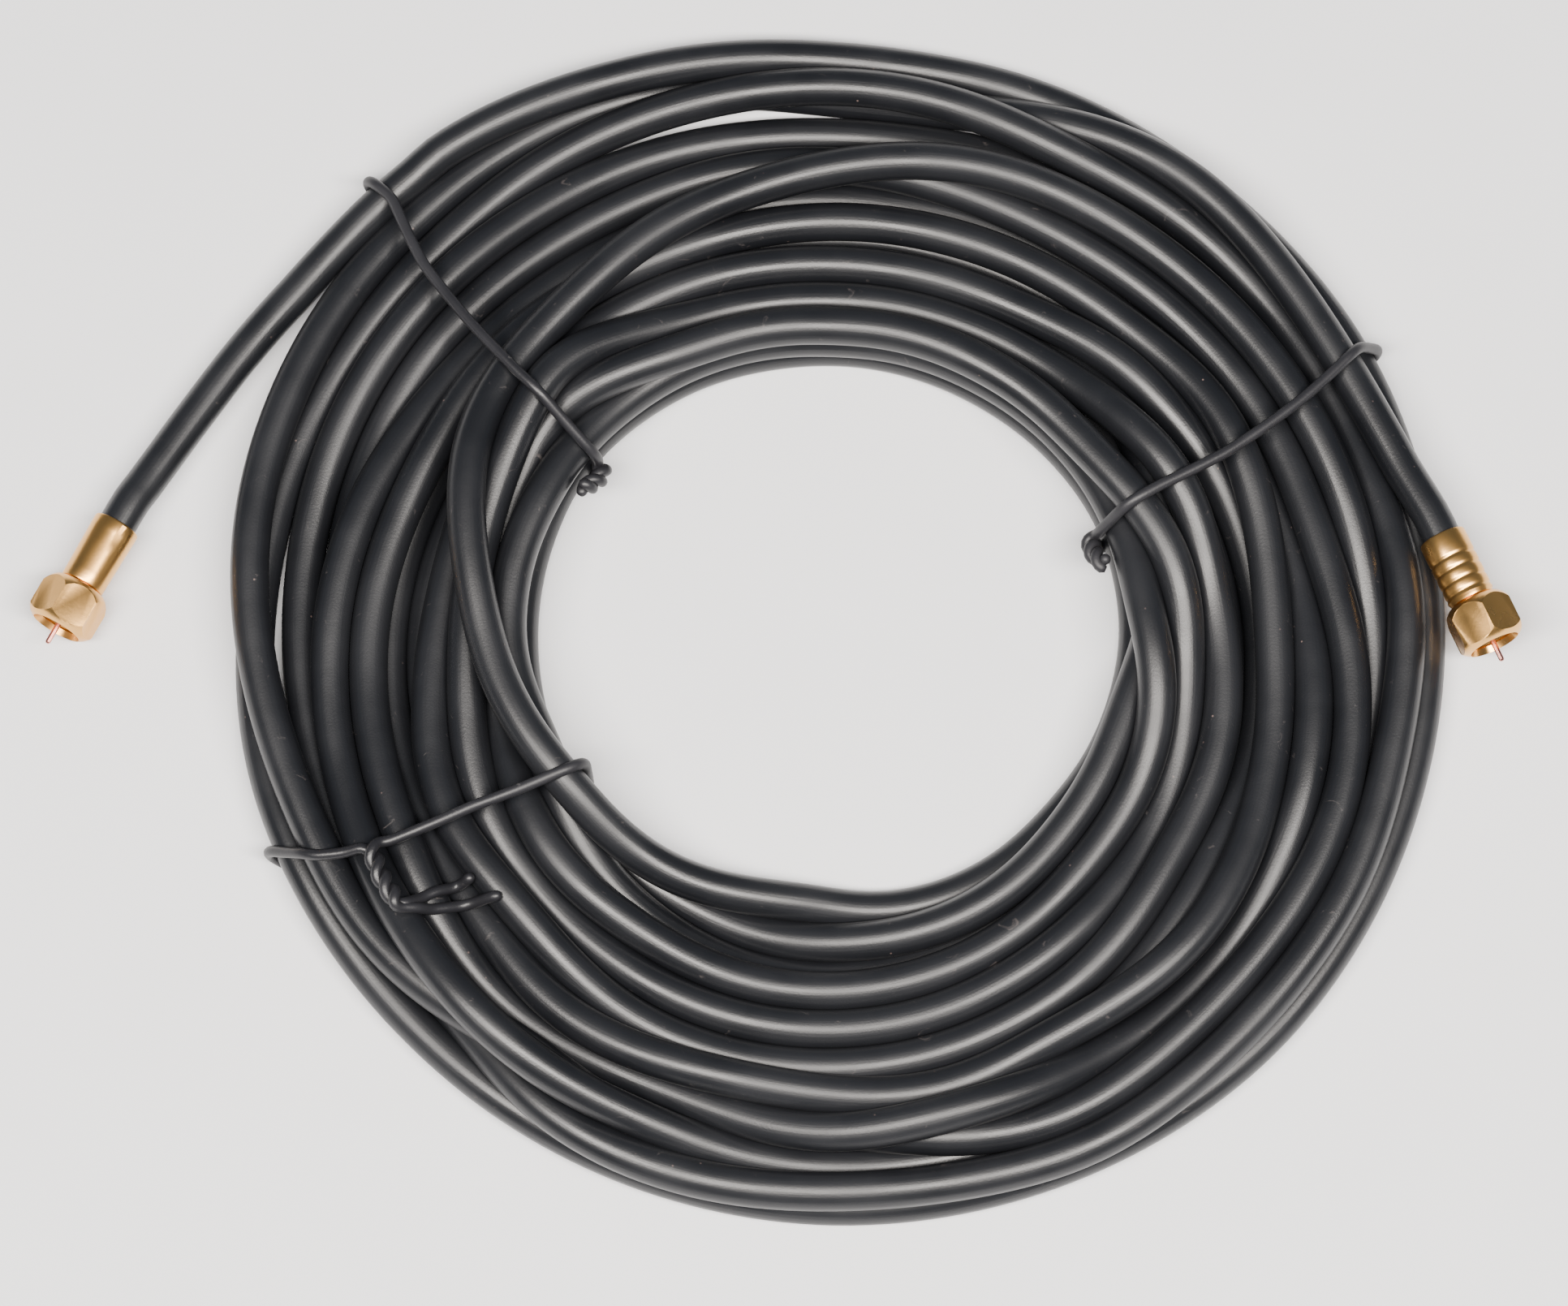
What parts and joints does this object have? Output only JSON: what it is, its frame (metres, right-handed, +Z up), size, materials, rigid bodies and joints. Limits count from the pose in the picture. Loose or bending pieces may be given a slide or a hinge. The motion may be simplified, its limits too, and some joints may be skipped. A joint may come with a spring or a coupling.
{
  "type": "coaxial cable coil",
  "caption": "Flat round coil of black coaxial antenna cable with a gold screw-on connector at each end, tied with wire ties.",
  "frame": {"origin": "under the middle of the whole part, on the surface that it lies on", "axes": "+X from the left connector to the right one, +Y towards the top of the picture, +Z up, through the coil's eye"},
  "size_m": [0.264, 0.2154, 0.0181],
  "materials": {
    "jacket": "semi-gloss PVC",
    "plating": "gold-coloured plating",
    "conductor": "bare copper",
    "dielectric": "white foam",
    "tie": "smooth plastic coat"
  },
  "bodies": {
    "coil": {"cable_coil": "jacket", "cable_tail_left": "jacket", "cable_tail_right": "jacket", "connector_body_left": "plating", "connector_body_right": "plating", "dielectric_left": "dielectric", "dielectric_right": "dielectric", "centre_conductor_left": "conductor", "centre_conductor_right": "conductor", "tie_upper_left": "tie", "tie_upper_right": "tie", "tie_lower_left": "tie"},
    "nut_left": {"coupling_nut_left": "plating"},
    "nut_right": {"coupling_nut_right": "plating"}
  },
  "joints": [
    {"name": "nut_left_spin", "type": "hinge", "parent": "coil", "child": "nut_left", "pos_m": [-0.12513, 0.00327, 0.00671], "axis": [-0.4772, -0.8788, 0], "continuous": true},
    {"name": "nut_right_spin", "type": "hinge", "parent": "coil", "child": "nut_right", "pos_m": [0.12529, -0.00112, 0.01164], "axis": [0.4067, -0.9135, 0], "continuous": true}
  ]
}
